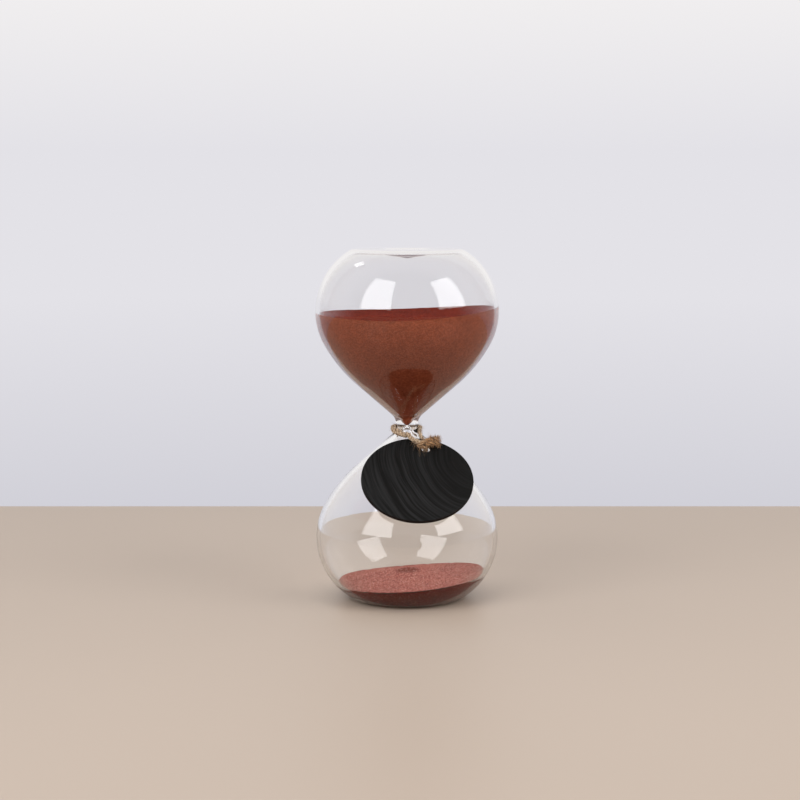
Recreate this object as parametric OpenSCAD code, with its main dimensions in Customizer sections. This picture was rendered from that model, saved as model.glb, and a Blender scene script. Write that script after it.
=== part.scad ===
// Hourglass: two glass bulbs fused at the neck, sand, and an oval wooden tag on twine.
// Units are millimetres. The base stands on z = 0, the glass axis is Z, the tag faces -Y.

/* [Glass] */
// Radius of each bulb at its belly
belly_radius = 43; // [38:0.5:50]
// Height of the belly above the flat end
belly_height = 29; // [25:0.5:34]
// Radius of the arc just past the belly
belly_arc = 32; // [28:0.5:36]
// Slope where the belly arc runs into the shoulder, degrees from upright
belly_arc_end = 29; // [24:1:34]
// Radius of the long arc of the shoulder
shoulder_arc = 70; // [60:1:80]
// Slope of the straight cone between the shoulder and the neck, degrees from upright
cone_angle = 49; // [46:1:54]
// Radius of the flat foot that each end stands on
foot_radius = 24.5; // [20:0.5:28]
// Radius of the foot's rounded edge
foot_edge = 5; // [4:0.5:7]
// Thickness of the blown wall
wall = 2; // [1.5:0.1:3.5]
// How much wider the cone opens inside, degrees, so that the wall thickens to the neck
bore_widening = 2; // [0:0.5:4]

/* [Neck] */
// Outside radius at the narrowest place
neck_radius = 5.1; // [4.5:0.1:6]
// Radius of the hollow curve outside the neck
neck_curve = 6.5; // [5.5:0.1:8]
// Radius of the hole that the sand runs through
throat_radius = 0.8; // [0.6:0.1:1.2]
// Radius of the rounded mouth of that hole
throat_mouth = 3; // [2:0.1:3.5]

/* [Ends] */
// Radius of the dimple pushed into each flat end
dimple_radius = 10.5; // [8:0.5:13]
// Depth of the dimple
dimple_depth = 1.5; // [1:0.1:4]
// Radius of the hole that the sand was filled through
fill_radius = 3; // [2:0.1:4]
// How far the melted seal swells past the wall, inside and out
seal_swell = 0.5; // [0.3:0.1:1.2]

/* [Sand] */
// Height of the upper sand above the neck
upper_sand_level = 53.3; // [30:0.1:60]
// Slope of the upper sand, rising to +X, degrees
upper_sand_slope = 2; // [0:0.1:4]
// Height of the lower sand above the base
lower_sand_level = 10; // [8:0.1:30]
// Slope of the lower sand, degrees
lower_sand_slope = 4.8; // [0:0.1:6]
// Direction that the lower sand rises to, degrees from +X
lower_sand_turn = -22; // [-90:1:90]
// Radius of the small heap under the neck
heap_radius = 8; // [5:0.5:12]
// Height of the small heap
heap_height = 1; // [0.5:0.1:4]

/* [Tag] */
// Width of the oval tag
tag_width = 51.6; // [45:0.2:56]
// Height of the oval tag
tag_height = 46.2; // [42:0.2:50]
// Radius of the oval's two side arcs
tag_side_arc = 21; // [19:0.5:22]
// Thickness of the tag
tag_thickness = 2; // [1.5:0.1:4]
// Lean of the tag from upright, the slope of the shoulder that it rests on
tag_lean = 44; // [42:1:47]
// Turn of the tag about the glass, degrees to the right of the front
tag_turn = 5; // [-30:1:30]
// Centre of the tag above the place where it rests
tag_slide = 0.4; // [-4:0.1:4]
// Centre of the tag to the right of the place where it rests
tag_shift = 2.1; // [-4:0.1:4]
// Gap left between the tag and the glass
tag_gap = 0.5; // [0.4:0.1:1]
// Radius of the hole in the tag
tag_hole_radius = 2; // [1.8:0.1:2.5]
// Hole's distance to the right of the tag's centre
tag_hole_side = 5; // [-8:0.1:8]
// Hole's distance below the tag's top edge
tag_hole_inset = 5.5; // [3.5:0.1:6]

/* [Twine] */
// Diameter of the twine
twine_diameter = 2.2; // [1.8:0.1:2.2]
// Gap between the twine and the glass or the tag
twine_gap = 0.15; // [0.1:0.05:0.3]
// How far the loop has slid down below the middle of the neck
loop_drop = 1.3; // [0:0.1:1.5]
// Radius of the knot
knot_radius = 2.5; // [1.8:0.1:2.5]

/* [Hidden] */
$fn = 96;
twine_sides = 8;

function on_arc(c, r, a) = [c[0] + r * cos(a), c[1] + r * sin(a)];

// The bulb's profile is a chain of arcs that run into each other. Each centre is [radius, height].
belly_run = foot_radius - belly_radius;
belly_rise = belly_height - foot_edge;
under_arc = (belly_run * belly_run + belly_rise * belly_rise - foot_edge * foot_edge)
          / (-2 * (belly_run + foot_edge));
foot_centre = [foot_radius, foot_edge];
under_centre = [belly_radius - under_arc, belly_height];
belly_centre = [belly_radius - belly_arc, belly_height];
shoulder_centre = on_arc(belly_centre, belly_arc - shoulder_arc, belly_arc_end);
foot_angle = atan2(foot_edge - belly_height, foot_radius - under_centre[0]);
cone_foot = on_arc(shoulder_centre, shoulder_arc, cone_angle);
cone_run = cone_foot[0] - neck_radius - neck_curve * (1 - cos(cone_angle));
neck_height = cone_foot[1] + cone_run / tan(cone_angle) + neck_curve * sin(cone_angle);
neck_centre = [neck_radius + neck_curve, neck_height];
glass_height = 2 * neck_height;

// The straight cone of the inner wall, and the mouth of the throat that it runs into
bore_angle = cone_angle + bore_widening;
bore_foot = on_arc(shoulder_centre, shoulder_arc - wall, bore_angle);
mouth_x = throat_radius + throat_mouth;
mouth_y = bore_foot[1] + (throat_mouth - (mouth_x - bore_foot[0]) * cos(bore_angle))
        / sin(bore_angle);
mouth_centre = [mouth_x, mouth_y];

// The dimple is part of a ball
dimple_ball = (dimple_radius * dimple_radius + dimple_depth * dimple_depth) / (2 * dimple_depth);
dimple_centre = dimple_depth - dimple_ball;
function dimple_z(r, inset) = dimple_centre + sqrt(pow(dimple_ball + inset, 2) - r * r);

// The tag's place: its front face's centre, and a point given along its width, height and normal
tag_rest = on_arc(shoulder_centre, shoulder_arc, tag_lean);
tag_middle = on_arc(tag_rest, tag_gap + tag_thickness, tag_lean)
           + tag_slide * [-sin(tag_lean), cos(tag_lean)];
function on_tag(t, u, n) = [t + tag_shift,
    -tag_middle[0] + u * sin(tag_lean) - n * cos(tag_lean),
    tag_middle[1] + u * cos(tag_lean) + n * sin(tag_lean)];
tag_top_arc = (pow(tag_width / 2 - tag_side_arc, 2) + pow(tag_height / 2, 2)
            - tag_side_arc * tag_side_arc) / (tag_height - 2 * tag_side_arc);
tag_top_centre = tag_height / 2 - tag_top_arc;
function tag_rim(t) = tag_top_centre + sqrt(tag_top_arc * tag_top_arc - t * t);
tag_hole = [tag_hole_side, tag_rim(tag_hole_side) - tag_hole_inset];

// The twine's route: round the back of the neck, one strand over the tag's top edge, the other
// behind it and out through the hole, both into the knot
twine_radius = twine_diameter / 2;
twine_room = twine_radius + twine_gap;
loop_height = neck_height - loop_drop;
loop_radius = neck_centre[0] - sqrt(pow(neck_curve - twine_room, 2) - loop_drop * loop_drop);
loop_opening = asin(twine_room / loop_radius);
knot_centre = on_tag(tag_hole[0] - 1.2, tag_hole[1] + 0.8, knot_radius + twine_gap);
front_route = [
    [-loop_radius, 0, loop_height],
    [-loop_radius - 0.1, -3.2, loop_height - 0.6],
    [-loop_radius + 1.6, -7, loop_height - 1.2],
    [-1.9, -11.7, loop_height - 2.1],
    on_tag(-2.8, tag_rim(-2.8) + 1.6, twine_room),
    on_tag(-1, tag_rim(-1) - 1.6, twine_room + 0.2),
    knot_centre];
back_route = [
    [loop_radius, 0, loop_height],
    [loop_radius + 0.6, -6, loop_height - 2.6],
    on_tag(tag_hole[0] + 0.4, tag_hole[1] + 3.4, -tag_thickness - twine_room - 0.3),
    on_tag(tag_hole[0] + 0.1, tag_hole[1] + 0.8, -tag_thickness - twine_room),
    on_tag(tag_hole[0], tag_hole[1], -tag_thickness / 2),
    on_tag(tag_hole[0], tag_hole[1], twine_radius)];
end_routes = [
    [knot_centre + [0.8, 0.4, 1.3], knot_centre + [4.4, 0.6, 1.7], knot_centre + [8.6, 0.3, 0.6]],
    [knot_centre + [1, 0, -1.2], knot_centre + [4.2, -0.2, -1], knot_centre + [7.6, -0.9, -1.9]]];

GLASS = [0.86, 0.89, 0.9, 0.35];
SEAL = [0.75, 0.8, 0.82, 0.6];
SAND = [0.48, 0.2, 0.14];
TWINE = [0.68, 0.53, 0.34];
WOOD = [0.06, 0.06, 0.06];

// A slice of a disc, from its centre out to the arc
module arc_slice(c, r, a0, a1) {
    intersection() {
        translate(c) circle(r);
        polygon([c, on_arc(c, 2 * r, a0), on_arc(c, 2 * r, a1)]);
    }
}

// The arcs that the wall's outside and inside share, set in by a wall's thickness, up to the cone
module bulb_body(inset, cone, top) {
    polygon(concat([
        [0, inset], [foot_radius, inset],
        on_arc(foot_centre, foot_edge - inset, foot_angle),
        [belly_radius - inset, belly_height],
        on_arc(belly_centre, belly_arc - inset, belly_arc_end),
        on_arc(shoulder_centre, shoulder_arc - inset, cone)], top));
    arc_slice(foot_centre, foot_edge - inset, -90, foot_angle);
    arc_slice(under_centre, under_arc - inset, foot_angle, 0);
    arc_slice(belly_centre, belly_arc - inset, 0, belly_arc_end);
    arc_slice(shoulder_centre, shoulder_arc - inset, belly_arc_end, cone);
}

// Everything inside the glass of one bulb, seen as a solid
module cavity() {
    rotate_extrude() difference() {
        bulb_body(wall, bore_angle, [on_arc(mouth_centre, -throat_mouth, bore_angle),
            [throat_radius, mouth_y], [throat_radius, neck_height], [0, neck_height]]);
        translate(mouth_centre) circle(throat_mouth);
        translate([0, dimple_centre]) circle(dimple_ball + wall);
        translate([-belly_radius, 0]) square([belly_radius, glass_height]);
    }
}

module bulb() {
    difference() {
        rotate_extrude() difference() {
            bulb_body(0, cone_angle, [on_arc(neck_centre, -neck_curve, cone_angle),
                [neck_radius, neck_height], [0, neck_height]]);
            translate(neck_centre) circle(neck_curve);
            translate([0, dimple_centre]) circle(dimple_ball);
            translate([-belly_radius, 0]) square([belly_radius, glass_height]);
        }
        cavity();
    }
}

module upside_down() {
    translate([0, 0, glass_height]) mirror([0, 0, 1]) children();
}

module lower_bulb() {
    color(GLASS) bulb();
}

module upper_bulb() {
    color(GLASS) upside_down() difference() {
        bulb();
        cylinder(r = fill_radius, h = belly_height);
    }
}

// A plug in the fill hole that swells inside and out, each swell part of a ball
module fill_seal() {
    out_z = dimple_z(fill_radius, 0);
    in_z = dimple_z(fill_radius, wall);
    ball = (fill_radius * fill_radius + seal_swell * seal_swell) / (2 * seal_swell);
    color(SEAL) upside_down() rotate_extrude() {
        intersection() {
            translate([0, out_z - seal_swell + ball]) circle(ball);
            translate([0, out_z - seal_swell]) square([fill_radius, wall + seal_swell]);
        }
        intersection() {
            translate([0, in_z + seal_swell - ball]) circle(ball);
            translate([0, in_z - wall]) square([fill_radius, wall + seal_swell]);
        }
    }
}

// All that lies under a plane that rises to +X, or to a direction turned from it
module under_slope(level, slope, turn = 0) {
    side = 4 * belly_radius;
    translate([0, 0, level]) rotate([0, -slope, turn])
        translate([-side / 2, -side / 2, -glass_height]) cube([side, side, glass_height]);
}

module lower_sand() {
    color(SAND) {
        intersection() {
            cavity();
            union() {
                under_slope(lower_sand_level, lower_sand_slope, lower_sand_turn);
                translate([0, 0, lower_sand_level - 1])
                    cylinder(r1 = heap_radius + heap_radius / heap_height,
                             r2 = 0, h = heap_height + 1);
            }
        }
    }
}

module upper_sand() {
    color(SAND) intersection() {
        upside_down() cavity();
        under_slope(neck_height + upper_sand_level, upper_sand_slope);
    }
}

// A tube along a route, turned as little as possible from ring to ring
function unit(v) = v / norm(v);
function heading(p, i) = unit(
    (i < len(p) - 1 ? unit(p[i + 1] - p[i]) : [0, 0, 0])
    + (i > 0 ? unit(p[i] - p[i - 1]) : [0, 0, 0]));
function side_on(p, i) = i == 0
    ? unit(cross(heading(p, 0), [0.3, 0.2, 1]))
    : let(h = heading(p, i), s = side_on(p, i - 1)) unit(s - (s * h) * h);
function ring(p, i, r) = let(s = side_on(p, i), up = cross(heading(p, i), s))
    [for (k = [0 : twine_sides - 1])
        p[i] + r * (cos(k * 360 / twine_sides) * s + sin(k * 360 / twine_sides) * up)];

module tube(p, r) {
    n = twine_sides;
    last = len(p) - 1;
    polyhedron(
        points = [for (i = [0 : last]) each ring(p, i, r)],
        faces = concat(
            [[for (k = [0 : n - 1]) n - 1 - k]],
            [for (i = [0 : last - 1], k = [0 : n - 1])
                each [[i * n + k, i * n + (k + 1) % n, (i + 1) * n + k],
                      [i * n + (k + 1) % n, (i + 1) * n + (k + 1) % n, (i + 1) * n + k]]],
            [[for (k = [0 : n - 1]) last * n + k]]),
        convexity = 4);
}

module neck_loop() {
    color(TWINE) rotate([0, 0, tag_turn]) translate([0, 0, loop_height])
        rotate([0, 0, loop_opening]) rotate_extrude(angle = 180 - 2 * loop_opening)
            translate([loop_radius, 0]) circle(twine_radius);
}

module tag_strands() {
    color(TWINE) rotate([0, 0, tag_turn]) {
        tube(front_route, twine_radius);
        tube(back_route, twine_radius);
    }
}

module twine_knot() {
    color(TWINE) rotate([0, 0, tag_turn]) translate(knot_centre) sphere(knot_radius);
}

module twine_ends() {
    color(TWINE) rotate([0, 0, tag_turn]) for (route = end_routes) tube(route, twine_radius);
}

module tag() {
    side_x = tag_width / 2 - tag_side_arc;
    join_x = side_x * tag_top_arc / (tag_top_arc - tag_side_arc);
    color(WOOD) rotate([0, 0, tag_turn]) translate(on_tag(0, 0, -tag_thickness))
        rotate([90 - tag_lean, 0, 0]) linear_extrude(tag_thickness) difference() {
            union() {
                for (x = [-side_x, side_x]) translate([x, 0]) circle(tag_side_arc);
                intersection() {
                    translate([0, tag_top_centre]) circle(tag_top_arc);
                    translate([0, -tag_top_centre]) circle(tag_top_arc);
                    square([2 * join_x, tag_height], center = true);
                }
            }
            translate(tag_hole) circle(tag_hole_radius);
        }
}

lower_bulb();
upper_bulb();
fill_seal();
lower_sand();
upper_sand();
neck_loop();
tag_strands();
twine_knot();
twine_ends();
tag();
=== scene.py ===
import math
import random
import bmesh
import bpy
from mathutils import Euler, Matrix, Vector, noise


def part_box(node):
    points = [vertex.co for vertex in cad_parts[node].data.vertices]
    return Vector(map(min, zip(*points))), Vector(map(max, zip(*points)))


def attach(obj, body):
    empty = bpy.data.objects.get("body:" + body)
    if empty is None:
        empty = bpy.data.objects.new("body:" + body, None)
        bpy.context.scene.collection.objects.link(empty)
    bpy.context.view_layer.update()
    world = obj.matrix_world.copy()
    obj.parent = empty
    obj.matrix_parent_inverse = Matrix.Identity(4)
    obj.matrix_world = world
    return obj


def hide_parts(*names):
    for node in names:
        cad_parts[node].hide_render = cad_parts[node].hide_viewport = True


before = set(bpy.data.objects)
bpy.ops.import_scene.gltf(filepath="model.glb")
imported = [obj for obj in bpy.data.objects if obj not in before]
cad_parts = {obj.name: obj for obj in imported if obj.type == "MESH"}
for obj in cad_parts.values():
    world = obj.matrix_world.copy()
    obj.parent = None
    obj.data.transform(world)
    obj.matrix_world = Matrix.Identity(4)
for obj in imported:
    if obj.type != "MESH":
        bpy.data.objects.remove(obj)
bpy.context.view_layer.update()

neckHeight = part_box("lower_bulb")[1].z
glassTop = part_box("upper_bulb")[1].z
seamGap = 0.000004  # points of a turned shape that are nearer than this become one


# helpers: selecting, adding, finishing

def deselectAll():
    if bpy.context.object and bpy.context.object.mode != "OBJECT":
        bpy.ops.object.mode_set(mode="OBJECT")
    bpy.ops.object.select_all(action="DESELECT")


def onlySelect(piece):
    deselectAll()
    piece.select_set(True)
    bpy.context.view_layer.objects.active = piece


def named(piece, name):
    piece.name = name
    piece.data.name = name
    return piece


def applyModifier(piece, kind, **settings):
    onlySelect(piece)
    modifier = piece.modifiers.new(kind.title(), kind)
    for key, value in settings.items():
        setattr(modifier, key, value)
    bpy.ops.object.modifier_apply(modifier=modifier.name)


def settle(piece):  # the place goes into the mesh, the object stays at the origin
    onlySelect(piece)
    bpy.ops.object.transform_apply(location=True, rotation=True, scale=True)


def joinPieces(pieces, name):
    deselectAll()
    for piece in pieces:
        piece.select_set(True)
    bpy.context.view_layer.objects.active = pieces[0]
    bpy.ops.object.join()
    return named(bpy.context.object, name)


def lathe(name, profile, steps):  # a profile of (radius, height) turned round the axis
    deselectAll()
    bpy.ops.mesh.primitive_plane_add(size=0.001, location=(0, 0, 0))
    piece = named(bpy.context.object, name)
    bpy.ops.object.mode_set(mode="EDIT")
    bpy.ops.mesh.select_all(action="SELECT")
    bpy.ops.mesh.merge(type="CENTER")
    bpy.ops.transform.translate(value=(profile[0][0], 0, profile[0][1]))
    for (r0, z0), (r1, z1) in zip(profile, profile[1:]):
        bpy.ops.mesh.extrude_region_move(TRANSFORM_OT_translate={"value": (r1 - r0, 0, z1 - z0)})
    bpy.ops.mesh.select_all(action="SELECT")
    bpy.ops.mesh.spin(steps=steps, angle=2 * math.pi, center=(0, 0, 0), axis=(0, 0, 1))
    bpy.ops.mesh.select_all(action="SELECT")
    bpy.ops.mesh.remove_doubles(threshold=seamGap)
    bpy.ops.mesh.normals_make_consistent(inside=False)
    bpy.ops.object.mode_set(mode="OBJECT")
    return piece


def smoothAll(piece, angle=None):
    onlySelect(piece)
    if angle is None:
        bpy.ops.object.shade_smooth()
    else:
        bpy.ops.object.shade_smooth_by_angle(angle=math.radians(angle))


def onArc(centre, radius, degrees):
    a = math.radians(degrees)
    return centre[0] + radius * math.cos(a), centre[1] + radius * math.sin(a)


def arcPoints(centre, radius, start, end, step):
    count = max(2, round(abs(end - start) / step))
    return [onArc(centre, radius, start + (end - start) * k / count) for k in range(count + 1)]


def pointsBetween(a, b, count):  # on a straight line, without its two ends
    return [(a[0] + (b[0] - a[0]) * k / count, a[1] + (b[1] - a[1]) * k / count)
            for k in range(1, count)]


# helpers: materials

def newMaterial(name):
    material = bpy.data.materials.new(name)
    material.use_nodes = True
    material.node_tree.nodes.clear()
    return material, material.node_tree


def addNode(tree, kind, inputs=None, **settings):
    node = tree.nodes.new(kind)
    for key, value in settings.items():
        setattr(node, key, value)
    for key, value in (inputs or {}).items():
        if isinstance(value, bpy.types.NodeSocket):
            tree.links.new(value, node.inputs[key])
        else:
            node.inputs[key].default_value = value
    return node


def ramp(tree, factor, stops):
    node = addNode(tree, "ShaderNodeValToRGB", {"Fac": factor})
    while len(node.color_ramp.elements) < len(stops):
        node.color_ramp.elements.new(0.5)
    for element, (place, colour) in zip(node.color_ramp.elements, stops):
        element.position = place
        element.color = (*colour, 1)
    return node.outputs["Color"]


def mixColour(tree, factor, a, b, blend="MIX"):
    colours = [value if isinstance(value, bpy.types.NodeSocket) else (*value, 1)
               for value in (a, b)]
    return addNode(tree, "ShaderNodeMix", {0: factor, 6: colours[0], 7: colours[1]},
                   data_type="RGBA", blend_type=blend).outputs[2]


def mathNode(tree, operation, a, b=0.0):
    return addNode(tree, "ShaderNodeMath", {0: a, 1: b}, operation=operation).outputs[0]


def vectorMath(tree, operation, *values, output=0):
    return addNode(tree, "ShaderNodeVectorMath", dict(enumerate(values)),
                   operation=operation).outputs[output]


def mapped(tree, value, start, end, low=0.0, high=1.0):
    return addNode(tree, "ShaderNodeMapRange", {
        "Value": value, "From Min": start, "From Max": end,
        "To Min": low, "To Max": high}).outputs[0]


def noisePattern(tree, vector, scale, detail=2.0, roughness=0.5, output="Fac"):
    return addNode(tree, "ShaderNodeTexNoise", {
        "Vector": vector, "Scale": scale, "Detail": detail,
        "Roughness": roughness}).outputs[output]


def objectPattern(tree, scale=(1, 1, 1), turn=(0, 0, 0), source="Object"):
    coordinates = addNode(tree, "ShaderNodeTexCoord")
    mapping = addNode(tree, "ShaderNodeMapping", {
        "Vector": coordinates.outputs[source], "Rotation": turn, "Scale": scale})
    return mapping.outputs["Vector"]


def split(tree, vector):
    return addNode(tree, "ShaderNodeSeparateXYZ", {"Vector": vector}).outputs


def finishMaterial(tree, surface):
    output = addNode(tree, "ShaderNodeOutputMaterial")
    tree.links.new(surface, output.inputs["Surface"])


def dress(piece, material):
    piece.data.materials.clear()
    piece.data.materials.append(material)


# blown glass

blownGlass = {
    "bellyRadius": 0.043, "bellyHeight": 0.029, "bellyArc": 0.032, "bellyArcEnd": 29,
    "shoulderArc": 0.070, "coneAngle": 49, "footRadius": 0.0245, "footEdge": 0.005,
    "wall": 0.0020, "boreWidening": 2, "neckRadius": 0.0051, "neckCurve": 0.0065,
    # radius and height from the neck
    "throat": [(0.00262, 0.0045), (0.0022, 0.0036), (0.0018, 0.0025), (0.0013, 0.0014),
               (0.0008, 0.0006), (0.00048, 0.00015), (0.00045, 0)],
    "dimpleRadius": 0.0105, "dimpleDepth": 0.0015, "dimpleLip": 0.0012,
    "fillRadius": 0.003, "sealSwell": 0.0005, "sealReach": 1.5,
    "steps": 144, "arcStep": 2.5, "neckStep": 3.5, "dimpleSteps": 21, "lipSteps": 8,
    "flatSteps": 8, "coneSteps": 10, "boreSteps": 12,
    "tint": (0.985, 0.985, 0.985), "ior": 1.47,
    "longestPath": (6.5, 3.5),  # below and above the neck
    "shadowTint": (0.93, 0.92, 0.91), "footTint": (0.20, 0.155, 0.12), "footTintTop": 0.016,
    "waveScale": 22, "waveStretch": (1, 1, 0.6), "waveDepth": 0.00002, "waveStrength": 0.35,
}


def bulbArcs(inset, cone):  # from the foot's edge up to where the cone starts
    g = blownGlass
    run, rise = g["footRadius"] - g["bellyRadius"], g["bellyHeight"] - g["footEdge"]
    underArc = (run * run + rise * rise - g["footEdge"] ** 2) / (-2 * (run + g["footEdge"]))
    footCentre = (g["footRadius"], g["footEdge"])
    underCentre = (g["bellyRadius"] - underArc, g["bellyHeight"])
    bellyCentre = (g["bellyRadius"] - g["bellyArc"], g["bellyHeight"])
    shoulderCentre = onArc(bellyCentre, g["bellyArc"] - g["shoulderArc"], g["bellyArcEnd"])
    footAngle = math.degrees(math.atan2(-rise, g["footRadius"] - underCentre[0]))
    step = g["arcStep"]
    return (arcPoints(footCentre, g["footEdge"] - inset, -90, footAngle, 2 * step)
            + arcPoints(underCentre, underArc - inset, footAngle, 0, step)[1:]
            + arcPoints(bellyCentre, g["bellyArc"] - inset, 0, g["bellyArcEnd"], step)[1:]
            + arcPoints(shoulderCentre, g["shoulderArc"] - inset, g["bellyArcEnd"],
                        cone, step / 2)[1:])


def dimplePoints(inset, swell):  # from the axis out to the foot's flat
    g = blownGlass
    ball = (g["dimpleRadius"] ** 2 + g["dimpleDepth"] ** 2) / (2 * g["dimpleDepth"])
    centre = g["dimpleDepth"] - ball
    radius = ball + inset
    edge = math.sqrt(radius ** 2 - (inset - centre) ** 2)
    reach = g["sealReach"] * g["fillRadius"]
    points = []
    for k in range(g["dimpleSteps"] + 1):
        r = (edge - g["dimpleLip"]) * k / g["dimpleSteps"]
        bump = swell * (0.5 + 0.5 * math.cos(math.pi * r / reach)) if r < reach else 0
        points.append((r, centre + math.sqrt(radius ** 2 - r * r) + bump))
    # a soft lip where the dimple meets the flat
    r0, z0 = points[-1]
    slope = -r0 / math.sqrt(radius ** 2 - r0 * r0)
    span = 2 * (inset - z0) / slope
    for k in range(1, g["lipSteps"] + 1):
        t = k / g["lipSteps"]
        points.append((r0 + span * t, z0 + slope * span * (t - t * t / 2)))
    return points


def outerHalf(swell):
    g = blownGlass
    points = dimplePoints(0, swell)
    points += pointsBetween((points[-1][0], 0), (g["footRadius"], 0), g["flatSteps"])
    points += bulbArcs(0, g["coneAngle"])
    neckCentre = (g["neckRadius"] + g["neckCurve"], neckHeight)
    cone = onArc(neckCentre, -g["neckCurve"], g["coneAngle"])
    points += pointsBetween(points[-1], cone, g["coneSteps"])
    return points + arcPoints(neckCentre, g["neckCurve"], 180 + g["coneAngle"], 180,
                              g["neckStep"])


def innerHalf(inset, swell):
    g = blownGlass
    points = dimplePoints(inset, swell)
    points += pointsBetween((points[-1][0], inset), (g["footRadius"], inset), g["flatSteps"])
    points += bulbArcs(inset, g["coneAngle"] + g["boreWidening"])
    throat = [(r - inset + g["wall"], neckHeight - height) for r, height in g["throat"]]
    points += pointsBetween(points[-1], throat[0], g["boreSteps"])
    return points + throat


def bothHalves(lower, upper):  # the upper half is turned over and read downwards
    return lower + [(r, glassTop - z) for r, z in reversed(upper[:-1])]


def makeGlassMaterial():
    g = blownGlass
    material, tree = newMaterial("clearBlownGlass")
    waves = noisePattern(tree, objectPattern(tree, g["waveStretch"]), g["waveScale"], 1.0, 0.4)
    bump = addNode(tree, "ShaderNodeBump", {
        "Height": waves, "Strength": g["waveStrength"], "Distance": g["waveDepth"]})
    glass = addNode(tree, "ShaderNodeBsdfPrincipled", {
        "Base Color": (*g["tint"], 1), "Roughness": 0.0, "IOR": g["ior"],
        "Transmission Weight": 1.0, "Normal": bump.outputs["Normal"]})
    height = split(tree, objectPattern(tree))["Z"]
    footShare = mathNode(tree, "DIVIDE", height, g["footTintTop"])
    shadow = ramp(tree, footShare, [(0.0, g["footTint"]), (1.0, g["shadowTint"])])
    lampSide = addNode(tree, "ShaderNodeBsdfTransparent", {"Color": shadow})
    # light caught in the wall leaves it straight after so many steps
    path = addNode(tree, "ShaderNodeLightPath")
    lowest, highest = g["longestPath"]
    limit = mathNode(tree, "SUBTRACT", lowest, mathNode(
        tree, "MULTIPLY", mathNode(tree, "GREATER_THAN", height, neckHeight), lowest - highest))
    caught = mathNode(tree, "GREATER_THAN", path.outputs["Ray Depth"], limit)
    straight = mathNode(tree, "MAXIMUM", path.outputs["Is Shadow Ray"], caught)
    mix = addNode(tree, "ShaderNodeMixShader", {0: straight,
                  1: glass.outputs[0], 2: lampSide.outputs[0]})
    finishMaterial(tree, mix.outputs[0])
    return material


def buildGlass():
    g = blownGlass
    outside = lathe("glassOutside", bothHalves(outerHalf(0), outerHalf(-g["sealSwell"])),
                    g["steps"])
    inside = lathe("glassInside", bothHalves(innerHalf(g["wall"], 0),
                                             innerHalf(g["wall"], g["sealSwell"])), g["steps"])
    onlySelect(inside)
    bpy.ops.object.mode_set(mode="EDIT")
    bpy.ops.mesh.select_all(action="SELECT")
    bpy.ops.mesh.flip_normals()  # the inner wall faces the sand
    bpy.ops.object.mode_set(mode="OBJECT")
    glassBody = joinPieces([outside, inside], "blown_glass_body")
    smoothAll(glassBody)
    settle(glassBody)
    dress(glassBody, makeGlassMaterial())
    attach(glassBody, "glass")
    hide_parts("upper_bulb", "lower_bulb", "fill_seal")
    print("glass:", len(glassBody.data.polygons), "faces")


buildGlass()


# sand

sandFill = {
    "press": 0.00004,  # the grains lie against the wall, with no air between
    "upper": {"level": 0.0532, "slope": 2.0, "turn": 0, "saddle": 0.00125, "sag": 0,
              "drift": 0.000175, "seed": 1.0},
    "lower": {"level": 0.0100, "slope": 4.8, "turn": -22, "saddle": 0.00095, "sag": 0.0018,
              "drift": 0.00035, "seed": 9.0},
    "saddleReach": 0.006, "heapRadius": 0.009, "heapHeight": 0.0006,
    "moundPlace": (0.0003, 0.0128), "moundSize": (0.0062, 0.0108), "moundHeight": 0.0006,
    # painted shade on the small mound
    "moundShadeColour": (0.125, 0.017, 0.010), "moundShadeFade": (0.6, 1.25), "moundShadeStrength": 0.9,
    "rings": 40, "rimMerge": 0.0004, "rimBand": 0.0005, "rimGap": 0.0002, "cutGap": 0.000002,
    "grainRelief": 0.00008, "driftWaves": (90, 700), "edgeReach": 0.003, "smoothAngle": 50,
    "tones": (0.34, 0.5, 0.70), "grainShare": 0.45, "clumpShare": 0.55,
    "dry": [(0.185, 0.036, 0.025), (0.31, 0.070, 0.050), (0.55, 0.22, 0.18)],
    "pressed": [(0.175, 0.037, 0.013), (0.22, 0.048, 0.018), (0.28, 0.066, 0.028)],
    # painted shade: the upper sand's open top is darkened, though it is the same sand as the
    # lower's
    "dryPaintedShade": {"lower": (1.0, 1.0, 1.0), "upper": (0.36, 0.13, 0.075)},
    # painted shade: the lower sand against the wall is darkened beneath the belly
    "pressedPaintedShade": {"lower": (0.54, 0.17, 0.09), "upper": (1.0, 1.0, 1.0)},
    "driftShade": [(0.3, (0.84, 0.82, 0.82)), (0.7, (1.0, 1.0, 1.0))],
    "grainScale": 2300, "clumpScale": 1000.0, "driftScale": 70.0,
    "flakeScale": 1600, "flake": (0.86, 0.50, 0.42), "flakeChance": 0.80, "flakeSize": 0.38,
    "flakeShow": 0.78, "flakeHidden": 0.65,  # shown on the open sand, hidden against the wall
    "roughness": (0.9, 0.65), "pressedSmoother": 0.3, "bump": 0.5, "bumpDepth": 0.0001,
    "openFacing": 0.3,  # where the normal points less up than this, grains lie on the wall
    "openGloss": {"lower": 0.03, "upper": 0.0}, "pressedGloss": {"lower": 0.0, "upper": 0.10},
    "clearRim": 0.42, "sheenAngle": 42.6, "sheenEdge": (0.006, 0.008),
    "sheen": (0.97, 0.95, 0.95), "sheenRoughness": 0.04,
}


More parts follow.
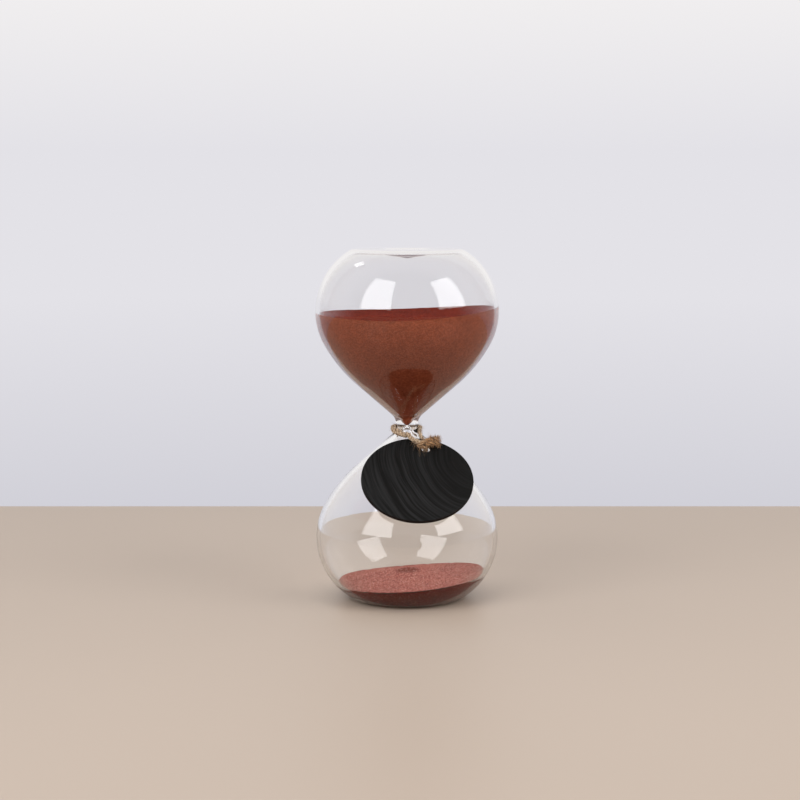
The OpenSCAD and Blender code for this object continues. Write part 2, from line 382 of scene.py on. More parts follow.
def makeSandMaterial(end):
    s = sandFill
    material, tree = newMaterial("copperRedSand_" + end)
    place = objectPattern(tree)
    grains = addNode(tree, "ShaderNodeTexVoronoi", {"Vector": place, "Scale": s["grainScale"]})
    tone = addNode(tree, "ShaderNodeSeparateColor", {"Color": grains.outputs["Color"]})
    clumps = noisePattern(tree, place, s["clumpScale"], 2.0, 0.6)
    drifts = noisePattern(tree, place, s["driftScale"], 4.0, 0.55)
    mixed = mathNode(tree, "ADD",
                     mathNode(tree, "MULTIPLY", tone.outputs["Red"], s["grainShare"]),
                     mathNode(tree, "MULTIPLY", clumps, s["clumpShare"]))
    dry = ramp(tree, mixed, list(zip(s["tones"], s["dry"])))
    # painted shade on the open sand of the upper end
    dry = mixColour(tree, 1.0, dry, s["dryPaintedShade"][end], "MULTIPLY")
    pressed = ramp(tree, mixed, list(zip(s["tones"], s["pressed"])))
    # painted shade on the sand against the wall at the lower end
    pressed = mixColour(tree, 1.0, pressed, s["pressedPaintedShade"][end], "MULTIPLY")
    facing = split(tree, addNode(tree, "ShaderNodeNewGeometry").outputs["True Normal"])
    onWall = mathNode(tree, "LESS_THAN", facing["Z"], s["openFacing"])
    colour = mixColour(tree, onWall, dry, pressed)
    shade = ramp(tree, drifts, s["driftShade"])
    colour = mixColour(tree, 1.0, colour, shade, "MULTIPLY")
    if end == "lower":  # painted shade: the small mound is darkened for its shaded side
        wide, deep = s["moundSize"]
        spread = vectorMath(tree, "SUBTRACT", place, (*s["moundPlace"], s["lower"]["level"]))
        spread = vectorMath(tree, "MULTIPLY", spread, (1 / wide, 1 / deep, 0))
        away = vectorMath(tree, "LENGTH", spread, output="Value")
        near = mapped(tree, away, *s["moundShadeFade"], s["moundShadeStrength"], 0.0)
        colour = mixColour(tree, near, colour, s["moundShadeColour"])
    flakes = addNode(tree, "ShaderNodeTexVoronoi", {"Vector": place, "Scale": s["flakeScale"]})
    chance = addNode(tree, "ShaderNodeSeparateColor", {"Color": flakes.outputs["Color"]})
    flake = mathNode(tree, "MULTIPLY",
                     mathNode(tree, "GREATER_THAN", chance.outputs["Green"], s["flakeChance"]),
                     mathNode(tree, "LESS_THAN", flakes.outputs["Distance"], s["flakeSize"]))
    flake = mathNode(tree, "MULTIPLY", flake, mathNode(
        tree, "SUBTRACT", s["flakeShow"], mathNode(tree, "MULTIPLY", onWall, s["flakeHidden"])))
    # the flakes take the same painted shade
    colour = mixColour(tree, flake, colour, mixColour(
        tree, 1.0, s["flake"], s["dryPaintedShade"][end], "MULTIPLY"))
    rough = mathNode(tree, "SUBTRACT", mapped(tree, tone.outputs["Blue"], 0, 1, *s["roughness"]),
                     mathNode(tree, "MULTIPLY", onWall, s["pressedSmoother"]))
    bump = addNode(tree, "ShaderNodeBump", {
        "Height": grains.outputs["Distance"], "Strength": s["bump"],
        "Distance": s["bumpDepth"]}, invert=True)
    gloss = mathNode(tree, "ADD", s["openGloss"][end], mathNode(
        tree, "MULTIPLY", onWall, s["pressedGloss"][end] - s["openGloss"][end]))
    shader = addNode(tree, "ShaderNodeBsdfPrincipled", {
        "Base Color": colour, "Roughness": rough, "Specular IOR Level": gloss,
        "Normal": bump.outputs["Normal"]})
    # past the glass's critical angle the wall mirrors the room between the grains
    weight = addNode(tree, "ShaderNodeLayerWeight", {"Blend": 0.5})
    limit = 1 - math.cos(math.radians(s["sheenAngle"]))
    rim = mapped(tree, weight.outputs["Facing"], limit - s["sheenEdge"][0],
                 limit + s["sheenEdge"][1], 0.0, s["clearRim"])
    mirror = addNode(tree, "ShaderNodeBsdfGlossy", {
        "Color": (*s["sheen"], 1), "Roughness": s["sheenRoughness"]})
    mix = addNode(tree, "ShaderNodeMixShader", {
        0: mathNode(tree, "MULTIPLY", rim, onWall), 1: shader.outputs[0], 2: mirror.outputs[0]})
    finishMaterial(tree, mix.outputs[0])
    return material


def drift(x, y, end):
    s, lay = sandFill, sandFill[end]
    slow, quick = s["driftWaves"]
    broad = noise.noise(Vector((x * slow, y * slow, lay["seed"])))
    fine = noise.noise(Vector((x * quick, y * quick, lay["seed"] + 5)))
    return lay["drift"] * broad + s["grainRelief"] * fine


def smoothStep(t):
    t = min(1.0, max(0.0, t))
    return t * t * (3 - 2 * t)


def spokeOf(place):  # its direction from the axis, in tenths of a degree
    return round(math.degrees(math.atan2(place.y, place.x)) * 10) % 3600


def wallRadius(profile, z):
    for (r0, z0), (r1, z1) in zip(profile, profile[1:]):
        if min(z0, z1) <= z <= max(z0, z1) and z0 != z1:
            return r0 + (r1 - r0) * (z - z0) / (z1 - z0)
    return profile[-1][0]


def upperShape(x, y, r):
    return drift(x, y, "upper")


def lowerShape(x, y, r):
    s = sandFill
    heap = s["heapHeight"] * smoothStep(1 - r / s["heapRadius"])
    dx = (x - s["moundPlace"][0]) / s["moundSize"][0]
    dy = (y - s["moundPlace"][1]) / s["moundSize"][1]
    mound = s["moundHeight"] * math.exp(-(dx * dx + dy * dy) ** 2)
    return heap + mound + drift(x, y, "lower")


def buildSand(end, profile, level, shape):
    s, lay = sandFill, sandFill[end]
    piece = lathe(end + "_sand_fill", profile, blownGlass["steps"])
    onlySelect(piece)
    a, t = math.radians(lay["slope"]), math.radians(lay["turn"])
    normal = Vector((-math.sin(a) * math.cos(t), -math.sin(a) * math.sin(t), math.cos(a)))
    bpy.ops.object.mode_set(mode="EDIT")
    bpy.ops.mesh.select_all(action="SELECT")
    bpy.ops.mesh.bisect(plane_co=(0, 0, level), plane_no=normal, clear_outer=True, use_fill=False)
    mesh = bmesh.from_edit_mesh(piece.data)
    bpy.ops.mesh.select_all(action="DESELECT")
    for e in mesh.edges:
        e.select = e.is_boundary
    bmesh.update_edit_mesh(piece.data)
    bpy.ops.mesh.remove_doubles(threshold=s["rimMerge"])
    mesh = bmesh.from_edit_mesh(piece.data)
    rimRadius = {}
    for v in mesh.verts:
        if v.select:
            rimRadius[spokeOf(v.co)] = math.hypot(v.co.x, v.co.y)
    for k in range(s["rings"] - 1):  # the cut edge is drawn in ring by ring to the middle
        share = (s["rings"] - 1 - k) / (s["rings"] - k)
        bpy.ops.mesh.extrude_edges_move()
        bpy.ops.transform.resize(value=(share, share, share), center_override=(0, 0, level))
    bpy.ops.mesh.edge_face_add()
    bpy.ops.mesh.select_all(action="SELECT")
    bpy.ops.mesh.normals_make_consistent(inside=False)
    bpy.ops.object.mode_set(mode="OBJECT")
    for v in piece.data.vertices:
        r = math.hypot(v.co.x, v.co.y)
        bend = (lay["saddle"] * (v.co.x ** 2 - v.co.y ** 2)
                - lay["sag"] * max(0.0, v.co.y) ** 2) / blownGlass["bellyRadius"] ** 2
        depth = -(v.co - Vector((0, 0, level))).dot(normal)
        inside = r < wallRadius(profile, v.co.z) - s["rimGap"]
        if depth < s["cutGap"] or depth < s["rimBand"] and inside:  # the open surface
            edge = min(1.0, max(0.0, rimRadius.get(spokeOf(v.co), 1.0) - r) / s["edgeReach"])
            v.co.z += bend + shape(v.co.x, v.co.y, r) * edge
        elif depth < s["saddleReach"]:  # the grains against the wall follow it
            v.co.z += bend * smoothStep(1 - depth / s["saddleReach"])
            grow = wallRadius(profile, v.co.z) / r
            v.co.x, v.co.y = v.co.x * grow, v.co.y * grow
    smoothAll(piece, s["smoothAngle"])
    settle(piece)
    dress(piece, makeSandMaterial(end))
    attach(piece, "glass")
    print(piece.name + ":", len(piece.data.polygons), "faces")
    return piece


cavity = innerHalf(blownGlass["wall"] - sandFill["press"], 0)
cavityTop = innerHalf(blownGlass["wall"] - sandFill["press"], blownGlass["sealSwell"])
lowerSand = buildSand("lower", cavity + [(0, neckHeight)], sandFill["lower"]["level"], lowerShape)
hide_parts("lower_sand")
upperSand = buildSand("upper",
                      [(0, neckHeight)] + [(r, glassTop - z) for r, z in reversed(cavityTop)],
                      neckHeight + sandFill["upper"]["level"], upperShape)
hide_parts("upper_sand")


# wooden tag

woodTag = {
    "width": 0.0516, "height": 0.0462, "thickness": 0.002, "sides": 160,
    "lean": 44, "turn": 5, "middle": (0.029639, 0.061228), "shift": 0.0021,
    "holeRadius": 0.002, "holePlace": (0.005, 0.017142), "holeSides": 48,
    "edgeBevel": 0.0003, "bevelSteps": 3, "smoothAngle": 35,
    "rimGap": 1e-6, "rimSharpness": 0.3,
    "stain": (0.0034, 0.0033, 0.0030), "grain": (0.0152, 0.0153, 0.0157),
    "edge": (0.008, 0.0040, 0.0028), "faceLimit": 0.5,
    "grainBend": 0.0045, "bendScale": 45.0,
    # the grain runs in long arcs round a point off the tag's upper right
    "grainCentre": (0.030, 0.015), "grainNarrow": 0.9, "grainStretch": (0.03, 0.03, 0.05),
    "lineScale": 880.0, "lineTones": (0.42, 0.64), "poreScale": 2600.0, "poreShare": 0.5,
    "plainer": (0.008, 0.034, 0.3),  # the grain is plainest near that point
    "roughness": (0.66, 0.57), "specular": 0.13, "bump": 0.3, "bumpDepth": 0.0001,
}


def onTag(t, u, n):  # a point along the tag's width, height and normal, before the turn
    a = math.radians(woodTag["lean"])
    radial, z = woodTag["middle"]
    return Vector((t + woodTag["shift"], -radial + u * math.sin(a) - n * math.cos(a),
                   z + u * math.cos(a) + n * math.sin(a)))


def turned(point):  # the tag and twine hang to the right of the front
    a = math.radians(woodTag["turn"])
    return Vector((point.x * math.cos(a) - point.y * math.sin(a),
                   point.x * math.sin(a) + point.y * math.cos(a), point.z))


def makeTagMaterial():
    w = woodTag
    material, tree = newMaterial("blackStainedWood")
    level = (math.radians(w["lean"] - 90), 0, math.radians(-w["turn"]))
    place = objectPattern(tree, turn=level)
    bend = noisePattern(tree, place, w["bendScale"], 1.0, output="Color")
    bentPlace = vectorMath(tree, "MULTIPLY_ADD", bend, (w["grainBend"],) * 3, place)
    centre = Euler(level).to_matrix() @ turned(onTag(*w["grainCentre"], 0))
    away = vectorMath(tree, "SUBTRACT", bentPlace, tuple(centre))
    away = vectorMath(tree, "MULTIPLY", away, (1.0, w["grainNarrow"], 0.0))
    away = vectorMath(tree, "LENGTH", away, output="Value")
    along = vectorMath(tree, "MULTIPLY", place, w["grainStretch"])
    arcs = addNode(tree, "ShaderNodeCombineXYZ", {"X": away})
    stretched = vectorMath(tree, "ADD", along, arcs.outputs[0])
    rings = noisePattern(tree, stretched, w["lineScale"], 2.5, 0.6)
    pores = noisePattern(tree, stretched, w["poreScale"])
    plain = mapped(tree, away, *w["plainer"])
    lines = ramp(tree, rings, list(zip(w["lineTones"], ((0, 0, 0), (1, 1, 1)))))
    lines = mathNode(tree, "MULTIPLY", lines, plain)
    face = mixColour(tree, lines, w["stain"], w["grain"])
    faceWay = tuple(turned(onTag(0, 0, 1) - onTag(0, 0, 0)))
    normal = addNode(tree, "ShaderNodeNewGeometry").outputs["True Normal"]
    towards = vectorMath(tree, "DOT_PRODUCT", normal, faceWay, output="Value")
    onEdge = mathNode(tree, "LESS_THAN", mathNode(tree, "ABSOLUTE", towards), w["faceLimit"])
    colour = mixColour(tree, onEdge, face, w["edge"])
    height = mathNode(tree, "ADD", rings, mathNode(tree, "MULTIPLY", pores, w["poreShare"]))
    bump = addNode(tree, "ShaderNodeBump", {
        "Height": height, "Distance": w["bumpDepth"],
        "Strength": mathNode(tree, "MULTIPLY", plain, w["bump"])})
    shader = addNode(tree, "ShaderNodeBsdfPrincipled", {
        "Base Color": colour, "Roughness": mapped(tree, lines, 0, 1, *w["roughness"]),
        "Specular IOR Level": w["specular"], "Normal": bump.outputs["Normal"]})
    finishMaterial(tree, shader.outputs[0])
    return material


def isRim(e):  # an edge round the plate or the hole, front or back
    w = woodTag
    first, last = e.verts[0].co.z, e.verts[1].co.z
    flat = abs(abs(first) - w["thickness"] / 2) < w["rimGap"] and abs(first - last) < w["rimGap"]
    return flat and len(e.link_faces) == 2 and \
        abs(e.link_faces[0].normal.dot(e.link_faces[1].normal)) < w["rimSharpness"]


def buildTag():
    w = woodTag
    deselectAll()
    bpy.ops.mesh.primitive_cylinder_add(vertices=w["sides"], radius=w["height"] / 2,
                                        depth=w["thickness"], location=(0, 0, 0))
    plate = named(bpy.context.object, "oval_wood_tag")
    bpy.ops.object.mode_set(mode="EDIT")
    bpy.ops.mesh.select_all(action="SELECT")
    bpy.ops.transform.resize(value=(w["width"] / w["height"], 1, 1))
    bpy.ops.object.mode_set(mode="OBJECT")
    bpy.ops.mesh.primitive_cylinder_add(vertices=w["holeSides"], radius=w["holeRadius"],
                                        depth=4 * w["thickness"],
                                        location=(*w["holePlace"], 0))
    drill = bpy.context.object
    applyModifier(plate, "BOOLEAN", operation="DIFFERENCE", object=drill, solver="EXACT")
    bpy.data.objects.remove(drill)
    onlySelect(plate)
    bpy.ops.object.mode_set(mode="EDIT")
    bpy.ops.mesh.select_all(action="DESELECT")
    mesh = bmesh.from_edit_mesh(plate.data)
    for e in mesh.edges:
        e.select = isRim(e)
    bmesh.update_edit_mesh(plate.data)
    bpy.ops.mesh.bevel(offset=w["edgeBevel"], segments=w["bevelSteps"], profile=0.5,
                       affect="EDGES")
    bpy.ops.object.mode_set(mode="OBJECT")
    smoothAll(plate, w["smoothAngle"])
    # leaned back, moved to its place, then turned about the glass
    plate.rotation_euler = (math.radians(90 - w["lean"]), 0, 0)
    settle(plate)
    plate.location = onTag(0, 0, -w["thickness"] / 2)
    settle(plate)
    plate.rotation_euler = (0, 0, math.radians(w["turn"]))
    settle(plate)
    dress(plate, makeTagMaterial())
    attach(plate, "hanging_tag")
    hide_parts("tag")
    print("tag:", len(plate.data.polygons), "faces")


buildTag()


# jute twine

juteTwine = {
    "radius": 0.0011, "gap": 0.00015, "plies": 3, "plyRadius": 0.00055, "plyOrbit": 0.00060,
    "twistLength": 0.0075, "loopRadius": 0.0065135, "loopDrop": 0.0013,
    "lumps": (0.16, 900, 7.3), "slip": (0.12, 400, 3.1),  # share, waves a metre, ply's offset
    "knotRadius": 0.0025, "knotPlace": (-0.0012, 0.0008),
    "dark": (0.060, 0.030, 0.012), "mid": (0.42, 0.285, 0.17), "pale": (0.74, 0.60, 0.44),
    "tones": (0.40, 0.5, 0.61), "streakStretch": (14, 1.5, 1), "streakScale": 6.0,
    "streakShare": 0.55, "patchScale": 1700.0, "patchShare": 0.45,
    # the loop's tint is painted shade for the part behind the neck
    "tint": {"loop": (0.40, 0.36, 0.32), "strand": (1.0, 1.0, 1.0), "knot": (0.74, 0.60, 0.46),
             "end": (0.78, 0.59, 0.40)},
    "loopShadeFrom": 0.0012, "loopShadeTo": 0.0048,  # painted shade: darker only at the back of the neck
    "roughness": 0.82, "specular": 0.25, "sheen": 0.35, "bump": 0.8, "bumpDepth": 0.0001,
    "step": {"loop": 0.0004, "strand": 0.0004, "knot": 0.0003, "end": 0.0004},
    "fibreRadius": 0.000035,
    "fibreRoot": {"loop": 0.0009, "strand": 0.0009, "knot": 0.0007, "end": 0.0009},
    # how many, how long, how far they stand off
    "fibres": {"loop": [(40, 0.0022, 0.6), (260, 0.0008, 0.7)],
               "strand": [(60, 0.0024, 0.7), (420, 0.0009, 0.7)],
               "knot": [(55, 0.0046, 1.0), (70, 0.0010, 0.8)],
               "end": [(60, 0.0030, 0.8)]},
    "fibreLength": (0.4, 1.3), "fibreAlong": (0.3, 1.0), "fibreOut": (0.15, 1.0),
    "fibreDroop": 0.6, "fibreBend": 0.22, "fibreTaper": (1.0, 1.0, 0.9, 0.8, 0.65, 0.5, 0.25),
    "brushRadius": 0.00007, "bristles": 210, "bristleFrom": 5, "bristleAlong": (0.1, 0.8),
    "bristleOut": 0.7, "bristleRoot": (0.0002, 0.0008), "bristleLength": (0.0008, 0.0021),
    "bristleBend": 0.05, "bristleTaper": (1.0, 1.0, 0.95, 0.85, 0.6),
}


def makeTwineMaterial(place):
    j = juteTwine
    material, tree = newMaterial("rawJute_" + place)
    streaks = noisePattern(tree, objectPattern(tree, j["streakStretch"], source="UV"),
                           j["streakScale"], 4.0, 0.7)
    patches = noisePattern(tree, objectPattern(tree), j["patchScale"])
    mixed = mathNode(tree, "ADD", mathNode(tree, "MULTIPLY", streaks, j["streakShare"]),
                     mathNode(tree, "MULTIPLY", patches, j["patchShare"]))
    colour = ramp(tree, mixed, list(zip(j["tones"], (j["dark"], j["mid"], j["pale"]))))
    tinted = 1.0
    # painted shade on the loop behind the neck
    if place == "loop":
        tinted = mapped(tree, split(tree, objectPattern(tree))["Y"],
                        j["loopShadeFrom"], j["loopShadeTo"])
    colour = mixColour(tree, tinted, colour, j["tint"][place], "MULTIPLY")
    bump = addNode(tree, "ShaderNodeBump", {
        "Height": mixed, "Strength": j["bump"], "Distance": j["bumpDepth"]})
    shader = addNode(tree, "ShaderNodeBsdfPrincipled", {
        "Base Color": colour, "Roughness": j["roughness"], "Specular IOR Level": j["specular"],
        "Sheen Weight": j["sheen"], "Sheen Roughness": 0.5, "Normal": bump.outputs["Normal"]})
    finishMaterial(tree, shader.outputs[0])
    return material


def smoothRoute(points, step):  # a rounded route through the points, at even steps
    ends = [2 * points[0] - points[1]] + points + [2 * points[-1] - points[-2]]
    pieces = 24
    fine = []
    for k in range(1, len(ends) - 2):
        p0, p1, p2, p3 = ends[k - 1:k + 3]
        for m in range(pieces):
            t = m / pieces
            fine.append(0.5 * (2 * p1 + (p2 - p0) * t + (2 * p0 - 5 * p1 + 4 * p2 - p3) * t * t
                               + (3 * p1 - p0 - 3 * p2 + p3) * t ** 3))
    fine.append(points[-1])
    route, travelled, wanted = [fine[0]], 0.0, step
    for a, b in zip(fine, fine[1:]):
        length = (b - a).length
        while travelled + length >= wanted:
            route.append(a.lerp(b, (wanted - travelled) / length))
            wanted += step
        travelled += length
    return route


def framesAlong(route):  # two directions across the route, carried along it without a twist
    headings = [(route[min(k + 1, len(route) - 1)] - route[max(k - 1, 0)]).normalized()
                for k in range(len(route))]
    side = headings[0].cross(Vector((0.3, 0.2, 1))).normalized()
    frames = []
    for heading in headings:
        side = (side - side.dot(heading) * heading).normalized()
        frames.append((side, heading.cross(side)))
    return frames


def addSpline(curve, points, radii):
    spline = curve.splines.new("POLY")
    spline.points.add(len(points) - 1)
    for k, (point, radius) in enumerate(zip(points, radii)):
        spline.points[k].co = (*point, 1)
        spline.points[k].radius = radius


def newCurve(name, bevel, resolution):
    curve = bpy.data.curves.new(name, "CURVE")
    curve.dimensions = "3D"
    curve.bevel_depth = bevel
    curve.bevel_resolution = resolution
    curve.use_fill_caps = True
    return curve


def curveToPiece(curve):
    piece = bpy.data.objects.new(curve.name, curve)
    bpy.context.scene.collection.objects.link(piece)
    onlySelect(piece)
    bpy.ops.object.convert(target="MESH")
    piece = named(bpy.context.object, curve.name)
    smoothAll(piece)
    return piece


def twistPlies(curve, route, phase, spread, seed):
    j = juteTwine
    lump, lumpWaves, lumpApart = j["lumps"]
    slip, slipWaves, slipApart = j["slip"]
    frames = framesAlong(route)
    travelled = 0.0
    plies = [[] for _ in range(j["plies"])]
    radii = [[] for _ in range(j["plies"])]
    for k, (point, (side, up)) in enumerate(zip(route, frames)):
        if k:
            travelled += (point - route[k - 1]).length
        wide, thin = spread(k / (len(route) - 1))
        for ply in range(j["plies"]):
            turn = phase + 2 * math.pi * (ply / j["plies"] + travelled / j["twistLength"])
            wobble = 1 + lump * noise.noise(
                Vector((travelled * lumpWaves, ply * lumpApart, seed)))
            orbit = j["plyOrbit"] * wide * (1 + slip * noise.noise(
                Vector((travelled * slipWaves, ply * slipApart, seed + 4))))
            plies[ply].append(point + orbit * (math.cos(turn) * side + math.sin(turn) * up))
            radii[ply].append(thin * wobble)
    for points, sizes in zip(plies, radii):
        addSpline(curve, points, sizes)
    return frames


def looseFibres(curve, rng, spots, count, length, lift):
    j = juteTwine
    steps = len(j["fibreTaper"]) - 1
    for _ in range(count):
        spot, along, out = rng.choice(spots)
        reach = length * rng.uniform(*j["fibreLength"])
        heading = (along * rng.choice((-1, 1)) * rng.uniform(*j["fibreAlong"])
                   + out * rng.uniform(*j["fibreOut"]) * lift).normalized()
        bend = Vector((rng.gauss(0, 1), rng.gauss(0, 1), rng.gauss(0, 1) - j["fibreDroop"]))
        bend = bend * j["fibreBend"]
        points = [spot.copy()]
        for _ in range(steps):
            points.append(points[-1] + heading * reach / steps)
            heading = (heading + bend).normalized()
        addSpline(curve, points, j["fibreTaper"])


def fibreSpots(route, frames, rng, radius):
    spots = []
    for k in range(1, len(route) - 1):
        side, up = frames[k]
        along = (route[k + 1] - route[k - 1]).normalized()
        for _ in range(3):
            a = rng.uniform(0, 2 * math.pi)
            out = math.cos(a) * side + math.sin(a) * up
            spots.append((route[k] + out * radius, along, out))
    return spots


def layTwine(plies, fibres, rng, points, place, phase, spread, seed):
    j = juteTwine
    route = smoothRoute([turned(p) for p in points], j["step"][place])
    frames = twistPlies(plies, route, phase, spread, seed)
    spots = fibreSpots(route, frames, rng, j["fibreRoot"][place])
    for count, length, lift in j["fibres"][place]:
        looseFibres(fibres, rng, spots, count, length, lift)
    return route


def twineCurves(name):
    return (newCurve(name + "Plies", juteTwine["plyRadius"], 3),
            newCurve(name + "Fibres", juteTwine["fibreRadius"], 0))


def dressTwine(piece, place, body, *replaced):
    settle(piece)
    dress(piece, makeTwineMaterial(place))
    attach(piece, body)
    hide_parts(*replaced)
    print(piece.name + ":", len(piece.data.polygons), "faces")


# how far the plies stand apart and how thick they are, along each length of twine

def thinnerRound(share):
    return 1 - 0.35 * share, 1 - 0.3 * share


def slackFront(share):  # loose beside the neck and tight at the knot
    slack = math.sin(math.pi * min(1.0, share / 0.62)) ** 2
    return 1 + 0.6 * slack, 1 + 0.30 * slack


def slackBack(share):  # thin and worn behind the tag
    return 0.65 + 0.35 * share, 0.7 + 0.3 * share


def pulledTight(share):
    return 0.72, 0.82


def openingOut(share):
    return 1 + 0.5 * share, 1 - 0.5 * share ** 2


loopHeight = neckHeight - juteTwine["loopDrop"]
loopRadius = juteTwine["loopRadius"]
room = juteTwine["radius"] + juteTwine["gap"]
holeT, holeU = woodTag["holePlace"]
knotT, knotU = holeT + juteTwine["knotPlace"][0], holeU + juteTwine["knotPlace"][1]
knotLift = juteTwine["knotRadius"] + juteTwine["gap"]
knotCentre = onTag(knotT, knotU, knotLift)
thick = woodTag["thickness"]
rimZero = woodTag["height"] / 2
rng = random.Random(41)

# round the back of the neck, from the left to the right
backOfLoop = [Vector((-loopRadius * math.cos(math.radians(a)), loopRadius * math.sin(
    math.radians(a)), loopHeight)) for a in range(0, 181, 12)]
# from the neck's left side over the tag's top edge to the knot
frontRoute = [Vector((-loopRadius, 0, loopHeight)),
              Vector((-loopRadius - 0.0001, -0.0032, loopHeight - 0.0006)),
              Vector((-loopRadius + 0.0016, -0.0070, loopHeight - 0.0012)),
              Vector((-0.0019, -0.0117, loopHeight - 0.0021)),
              onTag(-0.0028, rimZero + 0.0014, room),
              onTag(-0.0010, rimZero - 0.0016, room + 0.0002),
              knotCentre]
# from the neck's right side down behind the tag and out through the hole
backRoute = [Vector((loopRadius, 0, loopHeight)),
             Vector((loopRadius - 0.0009, -0.0058, loopHeight - 0.0022)),
             onTag(holeT + 0.0004, holeU + 0.0034, -thick - room - 0.0003),
             onTag(holeT + 0.0001, holeU + 0.0008, -thick - room),
             onTag(holeT, holeU, -thick / 2),
             onTag(holeT, holeU, juteTwine["radius"])]

plies, fibres = twineCurves("loop")
layTwine(plies, fibres, rng, backOfLoop, "loop", 0.4, thinnerRound, 1)
loopPiece = joinPieces([curveToPiece(plies), curveToPiece(fibres)], "jute_neck_loop")
dressTwine(loopPiece, "loop", "loop", "neck_loop")

plies, fibres = twineCurves("strand")
for number, (points, slack) in enumerate(((frontRoute, slackFront), (backRoute, slackBack))):
    layTwine(plies, fibres, rng, points, "strand", 1.1 + number, slack, 3 + number)
strandPiece = joinPieces([curveToPiece(plies), curveToPiece(fibres)], "jute_tag_strands")
dressTwine(strandPiece, "strand", "strands", "tag_strands")

# the knot: one turn of the same twine with a strand drawn through it, in millimetres
ring = [(2.0 * math.cos(a), 1.85 * math.sin(a) + 0.5, 0.5 * math.sin(2 * a))
        for a in (math.radians(k) for k in range(-150, 211, 20))]
across = [(-2.6, -1.2, 0.2), (-1.5, -0.4, 1.1), (0.0, 0.5, 1.5), (1.3, 1.2, 1.2), (2.4, 1.4, 0.4)]
plies, fibres = twineCurves("knot")
for number, steps in enumerate((ring, across)):
    points = [onTag(knotT + 0.001 * a, knotU + 0.001 * b, knotLift + 0.001 * (c - 1.0))
              for a, b, c in steps]
    layTwine(plies, fibres, rng, points, "knot", 1.3 * number, pulledTight, 8 + number)
knotPiece = joinPieces([curveToPiece(plies), curveToPiece(fibres)], "jute_knot")
dressTwine(knotPiece, "knot", "strands", "twine_knot")


def addBristles(brush, rng, route):  # the cut ends open out into a brush of stiff fibres
    j = juteTwine
    heading = (route[-1] - route[-4]).normalized()
    steps = len(j["bristleTaper"]) - 1
    for _ in range(j["bristles"]):
        spot = rng.choice(route[j["bristleFrom"]:]).copy()
        side = Vector((rng.gauss(0, 0.5), rng.gauss(0, 0.6), rng.gauss(0.5, 1)))
        aim = (heading * rng.uniform(*j["bristleAlong"]) + side * j["bristleOut"]).normalized()
        spot += side.normalized() * rng.uniform(*j["bristleRoot"])
        reach = rng.uniform(*j["bristleLength"])
        bend = Vector((rng.gauss(0, 1), rng.gauss(0, 1), rng.gauss(0, 1))) * j["bristleBend"]
        points = [spot]
        for _ in range(steps):
            points.append(points[-1] + aim * reach / steps)
            aim = (aim + bend).normalized()
        addSpline(brush, points, j["bristleTaper"])


offsets = [[(0.0012, 0.0004, 0.0012), (0.0040, 0.0004, 0.0018), (0.0070, 0.0004, 0.0018)],
           [(0.0012, 0.0, -0.0002), (0.0042, -0.0002, 0.0004), (0.0072, -0.0004, 0.0002)]]
plies, fibres = twineCurves("end")
brush = newCurve("endBrush", juteTwine["brushRadius"], 0)
for number, steps in enumerate(offsets):
    points = [knotCentre + Vector(step) for step in steps]
    route = layTwine(plies, fibres, rng, points, "end", 2.0 * number, openingOut, 12 + number)
    addBristles(brush, rng, route)
endPiece = joinPieces([curveToPiece(plies), curveToPiece(fibres), curveToPiece(brush)],
                      "jute_cut_ends")
dressTwine(endPiece, "end", "strands", "twine_ends")


# floor, backdrop, lamps, camera

studio = {
    "floorBack": 0.245, "floorSide": 1.6, "floorFront": -1.9,
    "floorColour": (0.50, 0.41, 0.335), "floorShade": 0.97, "floorPatches": 3.0,
    "floorRoughness": 0.45, "floorSpecular": 0.3,
    "wallColour": (0.77, 0.76, 0.80), "horizonColour": (0.63, 0.625, 0.68),
    "roomColour": (0.22, 0.205, 0.20), "ceilingColour": (0.90, 0.88, 0.88),
    "lightColour": (0.62, 0.60, 0.60),
    # where one colour passes into the next, as the height or depth of a direction
    "horizonBand": (-0.18, -0.06), "ceilingBand": (0.02, 0.12), "wallBand": (-0.4, 0.25),
}


def makeFloor():
    deselectAll()
    bpy.ops.mesh.primitive_plane_add(size=1, location=(0, 0, 0))
    floor = named(bpy.context.object, "floor")
    depth = studio["floorBack"] - studio["floorFront"]
    floor.scale = (2 * studio["floorSide"], depth, 1)
    floor.location = (0, (studio["floorBack"] + studio["floorFront"]) / 2, 0)
    settle(floor)
    material, tree = newMaterial("plainPaleFloor")
    patches = noisePattern(tree, objectPattern(tree), studio["floorPatches"])
    shaded = tuple(c * studio["floorShade"] for c in studio["floorColour"])
    colour = ramp(tree, patches, [(0.3, shaded), (0.7, studio["floorColour"])])
    shader = addNode(tree, "ShaderNodeBsdfPrincipled", {
        "Base Color": colour, "Roughness": studio["floorRoughness"],
        "Specular IOR Level": studio["floorSpecular"]})
    finishMaterial(tree, shader.outputs[0])
    dress(floor, material)


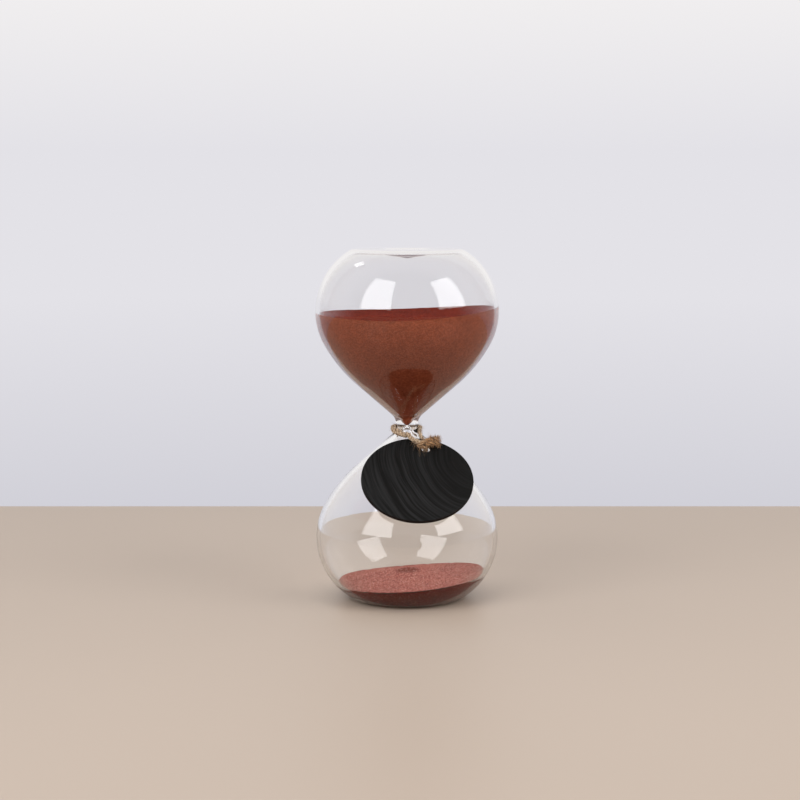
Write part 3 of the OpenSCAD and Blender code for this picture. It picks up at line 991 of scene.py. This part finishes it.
def makeWorld():
    world = bpy.data.worlds.new("studioRoom")
    bpy.context.scene.world = world
    world.use_nodes = True
    tree = world.node_tree
    tree.nodes.clear()
    way = split(tree, addNode(tree, "ShaderNodeTexCoord").outputs["Generated"])
    rise = mapped(tree, way["Z"], *studio["horizonBand"])
    behind = mapped(tree, way["Y"], *studio["wallBand"])
    wall = mixColour(tree, rise, studio["horizonColour"], studio["wallColour"])
    room = mixColour(tree, behind, studio["roomColour"], wall)
    above = mathNode(tree, "MULTIPLY", mapped(tree, way["Z"], *studio["ceilingBand"]), behind)
    room = mixColour(tree, above, room, studio["ceilingColour"])
    path = addNode(tree, "ShaderNodeLightPath")
    seen = mathNode(tree, "MAXIMUM", path.outputs["Is Camera Ray"],
                    mathNode(tree, "MAXIMUM", path.outputs["Is Glossy Ray"],
                             path.outputs["Is Transmission Ray"]))
    colour = mixColour(tree, seen, studio["lightColour"], room)
    background = addNode(tree, "ShaderNodeBackground", {"Color": colour, "Strength": 1.0})
    output = addNode(tree, "ShaderNodeOutputWorld")
    tree.links.new(background.outputs[0], output.inputs["Surface"])


softboxes = {  # azimuth from the front, distance out, lower edge, upper edge, width, watts
    "softboxLeft": (-40, 0.80, 0.242, 1.23, 0.582, 6.7),
    "softboxRight": (58.5, 0.80, 0.250, 1.122, 0.535, 5.6),
}
smallLamp = {"azimuth": -124, "elevation": 48.5, "distance": 1.2, "size": (0.07, 0.16),
             "watts": 0.2, "aimHeight": 0.13}


def addLamp(name, place, width, height, watts, target):
    deselectAll()
    bpy.ops.object.light_add(type="AREA", location=place)
    lamp = bpy.context.object
    lamp.name = name
    lamp.data.shape = "RECTANGLE"
    lamp.data.size, lamp.data.size_y = width, height
    lamp.data.energy = watts
    lamp.rotation_euler = (target - place).to_track_quat("-Z", "Y").to_euler()
    lamp.visible_camera = False


def makeLamps():
    for name, (azimuth, out, low, high, width, watts) in softboxes.items():
        a, middle = math.radians(azimuth), (low + high) / 2
        place = Vector((math.sin(a) * out, -math.cos(a) * out, middle))
        addLamp(name, place, width, high - low, watts, Vector((0, 0, middle)))
    a, e = math.radians(smallLamp["azimuth"]), math.radians(smallLamp["elevation"])
    aim = Vector((0, 0, smallLamp["aimHeight"]))
    place = aim + smallLamp["distance"] * Vector((math.sin(a) * math.cos(e),
                                                  -math.cos(a) * math.cos(e), math.sin(e)))
    addLamp("smallLampBehind", place, *smallLamp["size"], smallLamp["watts"], aim)


view = {"place": (-0.0033, -0.850, 0.194), "tiltDown": 6.7, "lens": 81.8, "sensorWidth": 36}


def makeCamera():
    deselectAll()
    bpy.ops.object.camera_add(location=view["place"],
                              rotation=(math.radians(90 - view["tiltDown"]), 0, 0))
    camera = bpy.context.object
    camera.data.sensor_width = view["sensorWidth"]
    camera.data.lens = view["lens"]
    bpy.context.scene.camera = camera


makeFloor()
makeWorld()
makeLamps()
makeCamera()
bpy.context.scene.view_settings.view_transform = "Standard"
print("stage ready")
